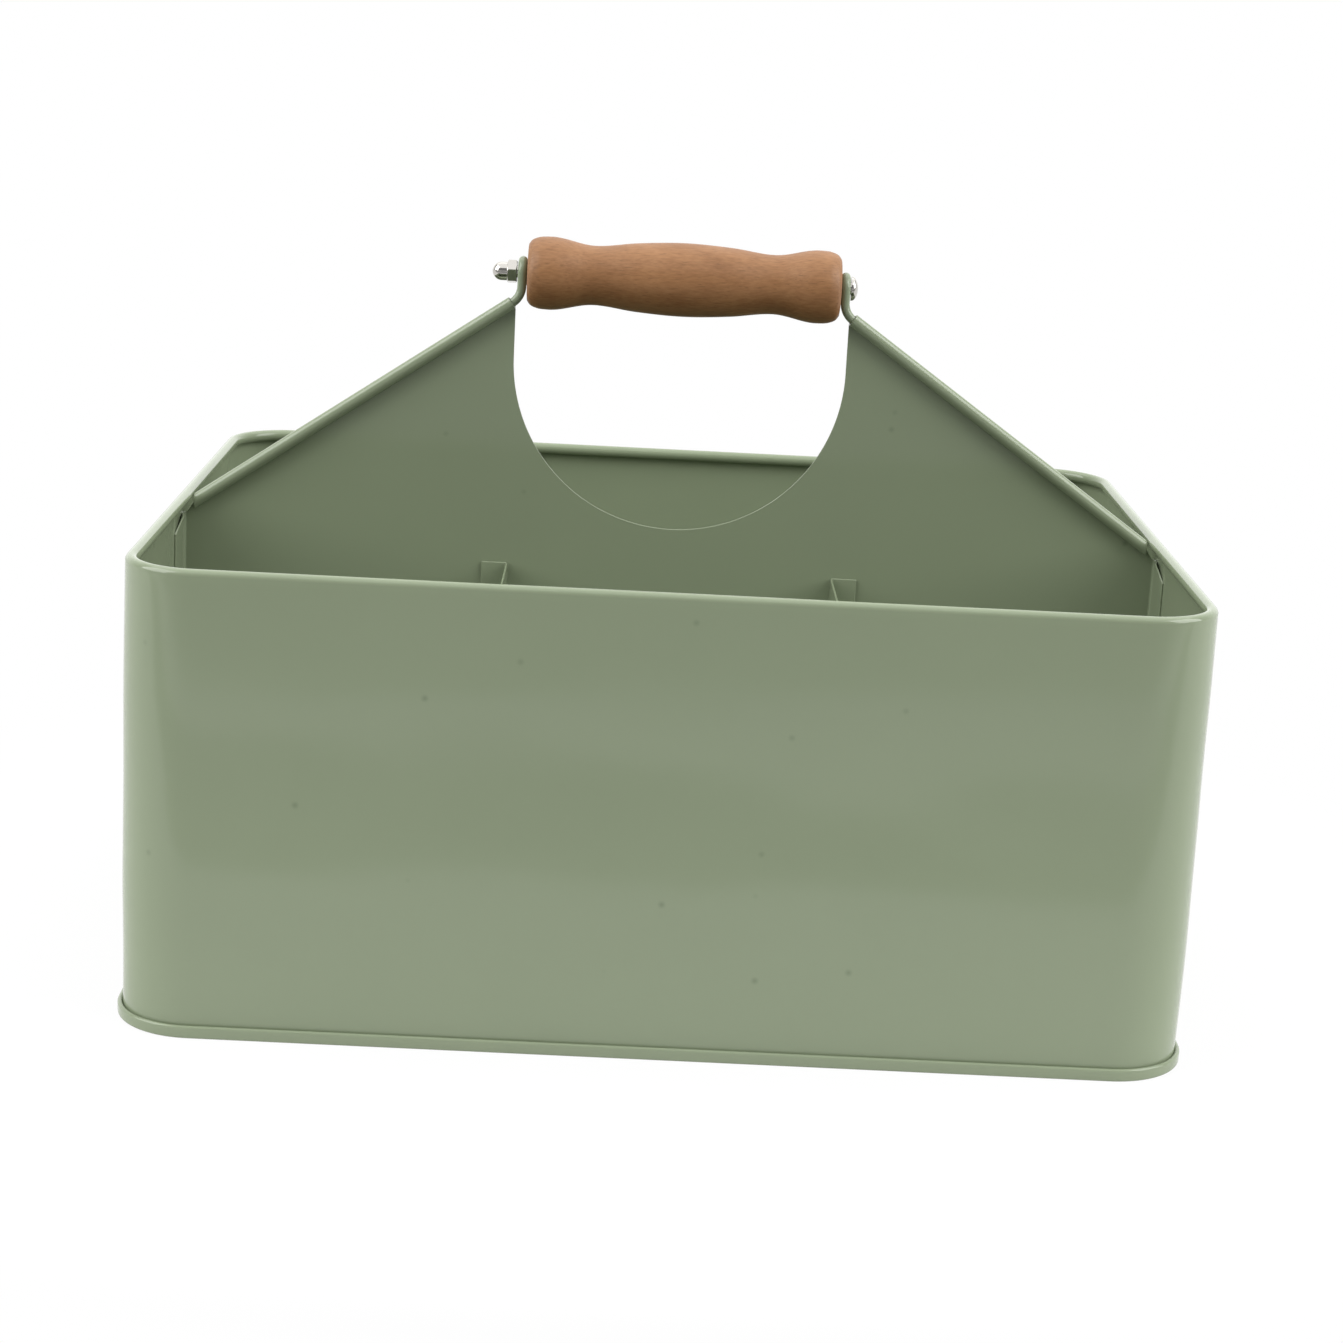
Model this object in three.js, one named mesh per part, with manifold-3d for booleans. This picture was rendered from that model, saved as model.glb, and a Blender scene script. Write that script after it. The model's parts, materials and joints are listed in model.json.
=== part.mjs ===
// Open sheet-steel seed caddy carried by a turned wood grip.
// Millimetres, +Z up, +X along the grip, +Y to the back.
// The origin is on the table, under the middle of the body.
import * as THREE from 'three';
import { mergeVertices } from 'three/addons/utils/BufferGeometryUtils.js';
import Module from 'manifold-3d';

const wasm = await Module();
wasm.setup();

// Body: one sheet bent into a rounded rectangle
const BODY_LENGTH = 330;
const BODY_DEPTH = 254;
const BODY_HEIGHT = 146;
const CORNER_RADIUS = 23.5;
const WALL_SHEET = 0.5;
const RIM_ROLL_DIAMETER = 4;
const RIM_ROLL_TURN = 300;

// Base: a recessed pan, double-seamed to the foot of the body
const BASE_SHEET = 0.5;
const SEAM_HEIGHT = 4;
const SEAM_GAP = 0.2;
const FLOOR_RISE = 3;

// Centre panel: a gable with end flanges, a hand opening and two curled hems
const PANEL_SHEET = 0.5;
const PANEL_FLANGE_WIDTH = 18;
const PANEL_CLIP_WIDTH = 10;
const PANEL_CLIP_HEIGHT = 4.5;
const PANEL_SHOULDER_DROP = 4;
const HAND_OPENING_BOTTOM = 140;
const HEM_TURN = 300;
const HEM_FOOT_DROP = 4;
const HEM_FOOT_SETBACK = 0.5;
const HEM_HEAD_DROP = 9.9;
const HEM_LAP = 0.6;

// Rods in the hems, each ending in an eye for the bolt
const ROD_DIAMETER = 3;
const ROD_FIT = 0.2;
const EYE_TO_HEM = 2.9;
const EYE_TO_OPENING = 1.8;
const EYE_TURN = 275;

// Cross dividers in the front half
const DIVIDER_SHEET = 0.7;
const DIVIDER_SPACING = 110;
const DIVIDER_TOP = 126;
const DIVIDER_FLANGE_WIDTH = 8.6;

// Turned grip
const GRIP_HEIGHT = 223.8;
const GRIP_LENGTH = 103.4;
const GRIP_FACE_DIAMETER = 18.8;
const GRIP_EDGE_DIAMETER = 21.2;
const GRIP_EDGE_INSET = 0.9;
const GRIP_CROWN_DIAMETER = 23.3;
const GRIP_CROWN_INSET = 3.2;
const GRIP_BULGE_DIAMETER = 24;
const GRIP_BULGE_INSET = 6.6;
const GRIP_NECK_DIAMETER = 19.5;
const GRIP_NECK_INSET = 21.6;
const GRIP_SHOULDER_DIAMETER = 22.6;
const GRIP_SHOULDER_INSET = 36;
const GRIP_BELLY_DIAMETER = 24.2;

// M4 bolt and domed nut
const BOLT_DIAMETER = 4;
const BOLT_FIT = 0.3;
const BOLT_HEAD_DIAMETER = 8;
const BOLT_HEAD_HEIGHT = 2.4;
const BOLT_HEAD_EDGE = 0.4;
const NUT_ACROSS_FLATS = 7;
const NUT_HEX_LENGTH = 3.3;
const NUT_DOME_DIAMETER = 6.2;
const NUT_LENGTH = 8.2;
const NUT_BORE_DEPTH = 5.3;
const NUT_TURN = 15;

// Clearance between sheets that lie together, and play between the grip, its eyes and the bolt's ends
const SHEET_FIT = 0.3;
const END_PLAY = 0.3;
const BEND_RADIUS = 1;

// How finely the round stretches are divided
const CORNER_STEPS = 6;
const BEND_STEPS = 3;
const CURL_STEPS = 12;
const ROD_SIDES = 10;
const EYE_STEPS = 16;
const OPENING_STEPS = 14;
const GRIP_STEPS = 36;
const GRIP_SIDES = 28;
const BOLT_SIDES = 20;

// Places that follow from the sizes above
const wallLine = -WALL_SHEET / 2;
const coverHookLine = SEAM_GAP + BASE_SHEET / 2;
const bodyHookLine = SEAM_GAP + BASE_SHEET + SEAM_GAP + WALL_SHEET / 2;
const seamLine = bodyHookLine + WALL_SHEET / 2 + SEAM_GAP + BASE_SHEET / 2;
const chuckLine = -WALL_SHEET - SEAM_GAP - BASE_SHEET / 2;
const bodyHookRadius = (bodyHookLine - wallLine) / 2;
const seamRadius = (seamLine - coverHookLine) / 2;
const bodyHookFoot = BASE_SHEET + SEAM_GAP + WALL_SHEET / 2;
const seamTop = SEAM_HEIGHT - BASE_SHEET / 2;
const floorLine = FLOOR_RISE + BASE_SHEET / 2;
const floorTop = FLOOR_RISE + BASE_SHEET;
const sheetFoot = floorTop + SHEET_FIT;

const rodRadius = ROD_DIAMETER / 2;
const hemRadius = rodRadius + ROD_FIT + PANEL_SHEET / 2;
const rodLine = -hemRadius;
const eyeLine = GRIP_LENGTH / 2 + END_PLAY + rodRadius;
const eyeRadius = BOLT_DIAMETER / 2 + BOLT_FIT + rodRadius;
const boltLine = rodLine + eyeRadius;
const openingHalf = eyeLine + EYE_TO_OPENING;
const hemHead = new THREE.Vector2(eyeLine + EYE_TO_HEM, GRIP_HEIGHT - HEM_HEAD_DROP);
const hemFootX = BODY_LENGTH / 2 - RIM_ROLL_DIAMETER - HEM_FOOT_SETBACK;
const hemFoot = new THREE.Vector2(hemFootX, BODY_HEIGHT - HEM_FOOT_DROP);
const hemRun = hemHead.clone().sub(hemFoot);
const hemAlong = hemRun.clone().normalize();
const hemUp = new THREE.Vector2(hemAlong.y, -hemAlong.x);
const boltSeat = eyeLine + rodRadius + END_PLAY;
const beyond = BODY_LENGTH + GRIP_HEIGHT;

// Materials
const paint = new THREE.MeshStandardMaterial({ color: 0x8c997d, roughness: 0.42, metalness: 0 });
const wood = new THREE.MeshStandardMaterial({ color: 0x9a6b48, roughness: 0.55, metalness: 0 });
const nickel = new THREE.MeshStandardMaterial({ color: 0xc9c5bd, roughness: 0.22, metalness: 1 });

function solidOf(geometry) {
  const bare = geometry.clone();
  bare.deleteAttribute('normal');
  bare.deleteAttribute('uv');
  const welded = mergeVertices(bare);
  const vertProperties = Float32Array.from(welded.attributes.position.array);
  const triVerts = Uint32Array.from(welded.index.array);
  return new wasm.Manifold(new wasm.Mesh({ numProp: 3, vertProperties, triVerts }));
}

function geometryOf(solid) {
  const mesh = solid.getMesh();
  const geometry = new THREE.BufferGeometry();
  geometry.setAttribute('position', new THREE.BufferAttribute(mesh.vertProperties, 3));
  geometry.setIndex(new THREE.BufferAttribute(mesh.triVerts, 1));
  geometry.computeVertexNormals();
  return geometry;
}

// A line of straight runs whose inner corners are rounded to one radius
function bentLine(corners, radius) {
  const line = [corners[0]];
  for (let i = 1; i < corners.length - 1; i += 1) {
    const into = corners[i].clone().sub(corners[i - 1]).normalize();
    const away = corners[i + 1].clone().sub(corners[i]).normalize();
    const turn = Math.atan2(into.cross(away), into.dot(away));
    const setback = radius * Math.tan(Math.abs(turn) / 2);
    const start = corners[i].clone().addScaledVector(into, -setback);
    const inward = new THREE.Vector2(-into.y, into.x).multiplyScalar(Math.sign(turn) * radius);
    const centre = start.clone().add(inward);
    for (let k = 0; k <= BEND_STEPS; k += 1) {
      line.push(start.clone().rotateAround(centre, (turn * k) / BEND_STEPS));
    }
  }
  line.push(corners[corners.length - 1]);
  return line.filter((point, i) => i === 0 || point.distanceTo(line[i - 1]) > 1e-4);
}

// The points of a curl that carries a line on round a centre, the line's last point left out
function curl(start, centre, degrees) {
  const turn = THREE.MathUtils.degToRad(degrees);
  const points = [];
  for (let k = 1; k <= CURL_STEPS; k += 1) {
    points.push(start.clone().rotateAround(centre, (turn * k) / CURL_STEPS));
  }
  return points;
}

// The closed outline of a sheet whose middle follows a line, counter-clockwise
function sheetOutline(line, thickness) {
  const right = [];
  const left = [];
  line.forEach((point, i) => {
    const before = line[Math.max(i - 1, 0)];
    const after = line[Math.min(i + 1, line.length - 1)];
    const into = (i > 0 ? point.clone().sub(before) : after.clone().sub(point)).normalize();
    const away = (i < line.length - 1 ? after.clone().sub(point) : into.clone()).normalize();
    const mean = into.clone().add(away).normalize();
    const reach = thickness / 2 / mean.dot(into);
    right.push(new THREE.Vector2(point.x + mean.y * reach, point.y - mean.x * reach));
    left.push(new THREE.Vector2(point.x - mean.y * reach, point.y + mean.x * reach));
  });
  return [...right, ...left.reverse()];
}

// A closed surface through rings of equal counts: looped, or capped at both ends with fans
function loft(rings, looped) {
  const count = rings[0].length;
  const bands = looped ? rings.length : rings.length - 1;
  const index = [];
  for (let i = 0; i < bands; i += 1) {
    const next = (i + 1) % rings.length;
    for (let j = 0; j < count; j += 1) {
      const k = (j + 1) % count;
      index.push(i * count + j, i * count + k, next * count + k);
      index.push(i * count + j, next * count + k, next * count + j);
    }
  }
  const last = (rings.length - 1) * count;
  for (let j = 1; !looped && j < count - 1; j += 1) {
    index.push(0, j + 1, j, last, last + j, last + j + 1);
  }
  const geometry = new THREE.BufferGeometry();
  const position = rings.flat().flatMap((point) => point.toArray());
  geometry.setAttribute('position', new THREE.Float32BufferAttribute(position, 3));
  geometry.setIndex(index);
  return geometry;
}

// The body's rounded rectangle at one height, moved outwards by an offset
function bodyRing(offset, height) {
  const ring = [];
  for (let quarter = 0; quarter < 4; quarter += 1) {
    const sideX = quarter === 0 || quarter === 3 ? 1 : -1;
    const sideY = quarter < 2 ? 1 : -1;
    for (let k = 0; k <= CORNER_STEPS; k += 1) {
      const angle = ((quarter + k / CORNER_STEPS) * Math.PI) / 2;
      const x = sideX * (BODY_LENGTH / 2 - CORNER_RADIUS) + (CORNER_RADIUS + offset) * Math.cos(angle);
      const y = sideY * (BODY_DEPTH / 2 - CORNER_RADIUS) + (CORNER_RADIUS + offset) * Math.sin(angle);
      ring.push(new THREE.Vector3(x, y, height));
    }
  }
  return ring;
}

// A round bar along a run of points that starts square to Y
function bar(points, radius, sides) {
  const across = new THREE.Vector3(0, 1, 0);
  const along = points[1].clone().sub(points[0]).normalize();
  const swing = new THREE.Quaternion();
  const rings = points.map((point, i) => {
    const before = points[Math.max(i - 1, 0)];
    const after = points[Math.min(i + 1, points.length - 1)];
    const into = i > 0 ? point.clone().sub(before).normalize() : along.clone();
    const away = i < points.length - 1 ? after.clone().sub(point).normalize() : into.clone();
    const mean = into.add(away).normalize();
    across.applyQuaternion(swing.setFromUnitVectors(along, mean));
    along.copy(mean);
    const upward = along.clone().cross(across);
    const ring = [];
    for (let k = 0; k < sides; k += 1) {
      const angle = (k / sides) * 2 * Math.PI;
      const spoke = point.clone().addScaledVector(across, radius * Math.cos(angle));
      ring.push(spoke.addScaledVector(upward, radius * Math.sin(angle)));
    }
    return ring;
  });
  return loft(rings, false);
}

// A flat outline pushed through a depth, laid with its axes along three directions
function pushed(outline, depth, base, acrossAxis, upAxis) {
  const geometry = new THREE.ExtrudeGeometry(new THREE.Shape(outline), { depth, bevelEnabled: false });
  const depthAxis = acrossAxis.clone().cross(upAxis);
  const frame = new THREE.Matrix4().makeBasis(acrossAxis, upAxis, depthAxis).setPosition(base);
  return geometry.applyMatrix4(frame);
}

// A turned shape about the grip's axis, from a profile of radius and place along X
function turned(profile, sides) {
  const geometry = new THREE.LatheGeometry(profile, sides);
  return geometry.rotateZ(-Math.PI / 2).translate(0, boltLine, GRIP_HEIGHT);
}

const alongX = new THREE.Vector3(1, 0, 0);
const alongY = new THREE.Vector3(0, 1, 0);
const alongZ = new THREE.Vector3(0, 0, 1);

// The wall: hook, wall and rolled rim in one profile, carried round the body
function bodyWall() {
  const hook = [
    new THREE.Vector2(bodyHookLine, seamTop - seamRadius),
    new THREE.Vector2(bodyHookLine, bodyHookFoot),
    new THREE.Vector2(wallLine, bodyHookFoot),
    new THREE.Vector2(wallLine, BODY_HEIGHT - RIM_ROLL_DIAMETER / 2),
  ];
  const rollCentre = new THREE.Vector2(-RIM_ROLL_DIAMETER / 2, BODY_HEIGHT - RIM_ROLL_DIAMETER / 2);
  const line = [...bentLine(hook, bodyHookRadius), ...curl(hook[3], rollCentre, RIM_ROLL_TURN)];
  const outline = sheetOutline(line, WALL_SHEET);
  return loft(outline.map((point) => bodyRing(point.x, point.y)), true);
}

// The base: flat floor, a step down inside the wall, and the fold over the body's hook
function basePan() {
  const corners = [
    new THREE.Vector2(chuckLine - CORNER_RADIUS / 2, floorLine),
    new THREE.Vector2(chuckLine, floorLine),
    new THREE.Vector2(chuckLine, BASE_SHEET / 2),
    new THREE.Vector2(seamLine, BASE_SHEET / 2),
    new THREE.Vector2(seamLine, seamTop),
    new THREE.Vector2(coverHookLine, seamTop),
    new THREE.Vector2(coverHookLine, bodyHookFoot + bodyHookRadius),
  ];
  const outline = sheetOutline(bentLine(corners, seamRadius), BASE_SHEET);
  return loft(outline.map((point) => bodyRing(point.x, point.y)), false);
}

// One sloping hem: a short leg of the sheet and its curl round the rod, side -1 left or 1 right.
// The hem runs on past its foot and is cut off upright there, beside the rim roll.
function hem(side) {
  const leg = [new THREE.Vector2(0, -HEM_LAP), new THREE.Vector2(0, 0)];
  const line = [...leg, ...curl(leg[1], new THREE.Vector2(rodLine, 0), HEM_TURN)];
  const upAxis = new THREE.Vector3(side * hemUp.x, 0, hemUp.y);
  const overrun = 3 * hemRadius;
  const start = side > 0 ? hemHead : hemFoot.clone().addScaledVector(hemAlong, -overrun);
  const base = new THREE.Vector3(side * start.x, 0, start.y);
  const tube = pushed(sheetOutline(line, PANEL_SHEET), hemRun.length() + overrun, base, alongY, upAxis);
  const between = new THREE.BoxGeometry(2 * hemFoot.x, beyond, 2 * beyond);
  return solidOf(tube).intersect(solidOf(between));
}

// The panel: a flanged sheet cut to the gable, opened for the hand, and hemmed
function centrePanel() {
  const flangeLine = BODY_LENGTH / 2 - WALL_SHEET - SHEET_FIT - PANEL_SHEET / 2;
  const plan = bentLine([
    new THREE.Vector2(-flangeLine, -PANEL_FLANGE_WIDTH),
    new THREE.Vector2(-flangeLine, 0),
    new THREE.Vector2(flangeLine, 0),
    new THREE.Vector2(flangeLine, -PANEL_FLANGE_WIDTH),
  ], BEND_RADIUS);
  const height = GRIP_HEIGHT - sheetFoot;
  const foot = new THREE.Vector3(0, 0, sheetFoot);
  const blank = solidOf(pushed(sheetOutline(plan, PANEL_SHEET), height, foot, alongX, alongY));

  const shoulder = BODY_HEIGHT - RIM_ROLL_DIAMETER - PANEL_SHOULDER_DROP;
  const lapped = (point) => point.clone().addScaledVector(hemUp, -HEM_LAP / 2);
  const rightHalf = [
    new THREE.Vector2(BODY_LENGTH / 2, 0),
    new THREE.Vector2(BODY_LENGTH / 2, shoulder),
    new THREE.Vector2(flangeLine, shoulder),
    lapped(hemFoot),
    lapped(hemHead),
  ];
  const leftHalf = rightHalf.map((point) => new THREE.Vector2(-point.x, point.y)).reverse();
  const behind = new THREE.Vector3(0, beyond, 0);
  const gable = pushed([...rightHalf, ...leftHalf], 2 * beyond, behind, alongX, alongZ);

  const clipInner = PANEL_CLIP_WIDTH - PANEL_FLANGE_WIDTH;
  const clipOuter = new THREE.Vector2(-PANEL_FLANGE_WIDTH, shoulder - PANEL_CLIP_HEIGHT);
  const flangeSide = [
    new THREE.Vector2(beyond, 0),
    new THREE.Vector2(beyond, beyond),
    new THREE.Vector2(clipInner, beyond),
    new THREE.Vector2(clipInner, shoulder),
    clipOuter,
    new THREE.Vector2(clipOuter.x, 0),
  ];
  const leftward = new THREE.Vector3(-beyond, 0, 0);
  const clipped = pushed(flangeSide, 2 * beyond, leftward, alongY, alongZ);

  const arcCentre = HAND_OPENING_BOTTOM + openingHalf;
  const opening = new THREE.Path();
  opening.moveTo(-openingHalf, beyond);
  opening.lineTo(-openingHalf, arcCentre);
  opening.absarc(0, arcCentre, openingHalf, Math.PI, 2 * Math.PI, false);
  opening.lineTo(openingHalf, beyond);
  const handOpening = pushed(opening.getPoints(OPENING_STEPS), 2 * beyond, behind, alongX, alongZ);

  const sheet = blank.intersect(solidOf(gable)).intersect(solidOf(clipped)).subtract(solidOf(handOpening));
  return geometryOf(sheet.add(hem(-1)).add(hem(1)));
}

// A rod: straight in its hem, bent upright at the head and carried round into an eye across the grip's axis
function hemRod(side) {
  const place = (x, y, z) => new THREE.Vector3(side * x, y, z);
  const foot = hemFoot.clone().addScaledVector(hemAlong, rodRadius);
  const bendRun = EYE_TO_HEM / -hemAlong.x;
  const bendTop = hemHead.y + bendRun * hemAlong.y;
  const upright = new THREE.QuadraticBezierCurve3(
    place(hemHead.x, rodLine, hemHead.y),
    place(eyeLine, rodLine, bendTop),
    place(eyeLine, rodLine, bendTop + bendRun),
  );
  const points = [place(foot.x, rodLine, foot.y), ...upright.getPoints(BEND_STEPS + 1)];
  const turn = THREE.MathUtils.degToRad(EYE_TURN);
  for (let k = 0; k <= EYE_STEPS; k += 1) {
    const angle = (turn * k) / EYE_STEPS;
    const y = boltLine - eyeRadius * Math.cos(angle);
    points.push(place(eyeLine, y, GRIP_HEIGHT + eyeRadius * Math.sin(angle)));
  }
  return bar(points, rodRadius, ROD_SIDES);
}

// A divider: a cross sheet from the panel to the front wall, flanged away from the middle at both ends
function divider(side) {
  const atPanel = -(PANEL_SHEET / 2 + SHEET_FIT + DIVIDER_SHEET / 2);
  const atFront = -(BODY_DEPTH / 2 - WALL_SHEET - SHEET_FIT - DIVIDER_SHEET / 2);
  const sheetX = (side * DIVIDER_SPACING) / 2;
  const tipX = sheetX + side * DIVIDER_FLANGE_WIDTH;
  const plan = bentLine([
    new THREE.Vector2(tipX, atPanel),
    new THREE.Vector2(sheetX, atPanel),
    new THREE.Vector2(sheetX, atFront),
    new THREE.Vector2(tipX, atFront),
  ], BEND_RADIUS);
  const foot = new THREE.Vector3(0, 0, sheetFoot);
  return pushed(sheetOutline(plan, DIVIDER_SHEET), DIVIDER_TOP - sheetFoot, foot, alongX, alongY);
}

// The grip: its turned profile from end to end, closed along the bore
function woodGrip() {
  const half = GRIP_LENGTH / 2;
  const stations = [
    [GRIP_FACE_DIAMETER, half],
    [GRIP_EDGE_DIAMETER, half - GRIP_EDGE_INSET],
    [GRIP_CROWN_DIAMETER, half - GRIP_CROWN_INSET],
    [GRIP_BULGE_DIAMETER, half - GRIP_BULGE_INSET],
    [GRIP_NECK_DIAMETER, half - GRIP_NECK_INSET],
    [GRIP_SHOULDER_DIAMETER, half - GRIP_SHOULDER_INSET],
  ];
  const rightHalf = stations.map(([diameter, place]) => new THREE.Vector2(diameter / 2, place));
  const leftHalf = rightHalf.map((point) => new THREE.Vector2(point.x, -point.y));
  const belly = new THREE.Vector2(GRIP_BELLY_DIAMETER / 2, 0);
  const outside = new THREE.SplineCurve([...leftHalf, belly, ...rightHalf.reverse()]);
  const bore = BOLT_DIAMETER / 2 + BOLT_FIT;
  const profile = [new THREE.Vector2(bore, -half), ...outside.getPoints(GRIP_STEPS)];
  profile.push(new THREE.Vector2(bore, half), new THREE.Vector2(bore, -half));
  return turned(profile, GRIP_SIDES);
}

// The bolt: shank from inside the nut to the right-hand eye, with a domed head
function gripBolt() {
  const tip = -boltSeat - NUT_BORE_DEPTH + END_PLAY;
  const domeHeight = BOLT_HEAD_HEIGHT - BOLT_HEAD_EDGE;
  const domeBase = boltSeat + BOLT_HEAD_EDGE;
  const profile = [
    new THREE.Vector2(0, tip),
    new THREE.Vector2(BOLT_DIAMETER / 2, tip),
    new THREE.Vector2(BOLT_DIAMETER / 2, boltSeat),
    new THREE.Vector2(BOLT_HEAD_DIAMETER / 2, boltSeat),
  ];
  const dome = new THREE.EllipseCurve(0, domeBase, BOLT_HEAD_DIAMETER / 2, domeHeight, 0, Math.PI / 2);
  profile.push(...dome.getPoints(BEND_STEPS * 2).slice(0, -1));
  profile.push(new THREE.Vector2(0, domeBase + domeHeight));
  return turned(profile, BOLT_SIDES);
}

// The nut: a hexagon with a domed cap, bored from its seat
function acornNut() {
  const domeRadius = NUT_DOME_DIAMETER / 2;
  const domeBase = NUT_LENGTH - domeRadius;
  const dome = new THREE.EllipseCurve(0, -boltSeat - domeBase, domeRadius, domeRadius, 0, -Math.PI / 2, true);
  const cap = [
    new THREE.Vector2(0, -boltSeat - NUT_LENGTH),
    ...dome.getPoints(BEND_STEPS * 2).slice(0, -1).reverse(),
    new THREE.Vector2(domeRadius, -boltSeat - NUT_HEX_LENGTH / 2),
    new THREE.Vector2(0, -boltSeat - NUT_HEX_LENGTH / 2),
  ];
  const hexRadius = NUT_ACROSS_FLATS / Math.sqrt(3);
  const hexagon = new THREE.CylinderGeometry(hexRadius, hexRadius, NUT_HEX_LENGTH, 6);
  hexagon.rotateZ(-Math.PI / 2).rotateX(Math.PI / 2 - THREE.MathUtils.degToRad(NUT_TURN));
  hexagon.translate(-boltSeat - NUT_HEX_LENGTH / 2, boltLine, GRIP_HEIGHT);
  const boreRadius = BOLT_DIAMETER / 2 + BOLT_FIT;
  const bore = new THREE.CylinderGeometry(boreRadius, boreRadius, 2 * NUT_BORE_DEPTH, BOLT_SIDES);
  bore.rotateZ(-Math.PI / 2).translate(-boltSeat, boltLine, GRIP_HEIGHT);
  return geometryOf(solidOf(turned(cap, BOLT_SIDES)).add(solidOf(hexagon)).subtract(solidOf(bore)));
}

function piece(name, geometry, material) {
  const mesh = new THREE.Mesh(geometry, material);
  mesh.name = name;
  return mesh;
}

const caddy = new THREE.Group();
caddy.add(piece('body_wall', bodyWall(), paint));
caddy.add(piece('base_pan', basePan(), paint));
caddy.add(piece('centre_panel', centrePanel(), paint));
for (const [name, side] of [['left', -1], ['right', 1]]) {
  caddy.add(piece(`${name}_hem_rod`, hemRod(side), paint));
  caddy.add(piece(`${name}_divider`, divider(side), paint));
}

const carry = new THREE.Group();
carry.add(piece('wood_grip', woodGrip(), wood));
carry.add(piece('grip_bolt', gripBolt(), nickel));
carry.add(piece('acorn_nut', acornNut(), nickel));
caddy.add(carry);

export default caddy;
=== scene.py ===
"""Looks of an open sheet-steel seed caddy with a turned wood grip, modelled around its CAD frame."""
import json
import math

import bmesh
import bpy
from bpy.props import FloatProperty, FloatVectorProperty, PointerProperty
from mathutils import Matrix, Vector


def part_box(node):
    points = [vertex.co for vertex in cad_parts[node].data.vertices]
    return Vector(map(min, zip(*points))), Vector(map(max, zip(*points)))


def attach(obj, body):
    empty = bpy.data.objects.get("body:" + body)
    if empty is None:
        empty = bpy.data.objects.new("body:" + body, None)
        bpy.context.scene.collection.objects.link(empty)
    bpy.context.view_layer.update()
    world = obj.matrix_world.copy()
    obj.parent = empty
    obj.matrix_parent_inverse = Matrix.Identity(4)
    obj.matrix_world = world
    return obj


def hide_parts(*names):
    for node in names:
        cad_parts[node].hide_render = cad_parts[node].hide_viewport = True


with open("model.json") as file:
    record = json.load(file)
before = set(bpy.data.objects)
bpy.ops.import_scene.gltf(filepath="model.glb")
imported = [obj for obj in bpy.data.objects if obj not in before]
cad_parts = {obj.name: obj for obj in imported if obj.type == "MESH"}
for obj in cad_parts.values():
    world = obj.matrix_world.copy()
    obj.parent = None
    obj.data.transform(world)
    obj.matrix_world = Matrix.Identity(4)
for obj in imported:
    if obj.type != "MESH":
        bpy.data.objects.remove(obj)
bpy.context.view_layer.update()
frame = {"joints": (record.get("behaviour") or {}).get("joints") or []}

bl_info = {
    "name": "Seed caddy",
    "version": (1, 0, 0),
    "blender": (4, 5, 0),
    "location": "View3D > Sidebar > Caddy",
    "description": "Models an open sheet-steel seed caddy with a turned wood grip around its CAD frame",
    "category": "Add Mesh",
}

# Sizes that every sheet shares, and places read from the frame
MM = 0.001
SHEET = 0.5 * MM
SEAM_LAYERS = 3
SEAM_GAP = 0.05 * MM
SEAM_REACH = SEAM_LAYERS * (SHEET + SEAM_GAP)
FRAME_SEAM_GAP = 0.2 * MM
FRAME_SEAM_REACH = SEAM_LAYERS * (SHEET + FRAME_SEAM_GAP)
BASE_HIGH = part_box("base_pan")[1]
WALL_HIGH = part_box("body_wall")[1]
PANEL_LOW, PANEL_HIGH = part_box("centre_panel")
DIVIDER_LOW, DIVIDER_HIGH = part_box("right_divider")
GRIP_LOW, GRIP_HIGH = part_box("wood_grip")
BOLT_LOW, BOLT_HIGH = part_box("grip_bolt")
NUT_LOW, NUT_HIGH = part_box("acorn_nut")
GRIP_AXIS = Vector(frame["joints"][0]["pos_m"])

ALONG_Y = Vector((0, 1, 0))

# How finely curves are drawn
BEND_STEPS = 8
GRIP_STEPS = 10
ROD_BEND_STEPS = 14
DOME_STEPS = 16
CORNER_STEPS = 24
CURL_STEPS = 30
OPENING_STEPS = 48
EYE_STEPS = 64
WALL_ROWS = 40
WALL_COLUMNS = 400
ROD_SIDES = 28
BOLT_SIDES = 64
TURNED_SIDES = 96

# How near two points have to be to count as one, and how cut edges are rounded over
SLIVER = 0.001 * MM
EDGE_SEGMENTS = 3
SHEET_EDGE_SHARE = 0.45
ROD_EDGE = 0.3 * MM

# A Mix node's sockets for two numbers, for two colours and for the mixed colour
NUMBER_A, NUMBER_B = 2, 3
COLOUR_A, COLOUR_B, MIXED_COLOUR = 6, 7, 2


def linear(hex_colour):
    """An sRGB hex colour as linear red, green and blue."""
    parts = [int(hex_colour[i:i + 2], 16) / 255 for i in (1, 3, 5)]
    return [p / 12.92 if p <= 0.04045 else ((p + 0.055) / 1.055) ** 2.4 for p in parts]


def distance(name, description, default):
    return FloatProperty(name=name, description=description, default=default, unit="LENGTH", precision=5)


def angle(name, description, degrees):
    return FloatProperty(name=name, description=description, default=math.radians(degrees), subtype="ANGLE")


def colour(name, description, hex_colour):
    return FloatVectorProperty(name=name, description=description, default=linear(hex_colour),
                               subtype="COLOR", min=0, max=1)


def power(name, description, watts):
    return FloatProperty(name=name, description=description, default=watts, unit="POWER")


def strength(name, description, default):
    return FloatProperty(name=name, description=description, default=default, subtype="FACTOR")


def position(name, description, default):
    return FloatVectorProperty(name=name, description=description, default=default, subtype="TRANSLATION")


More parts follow.
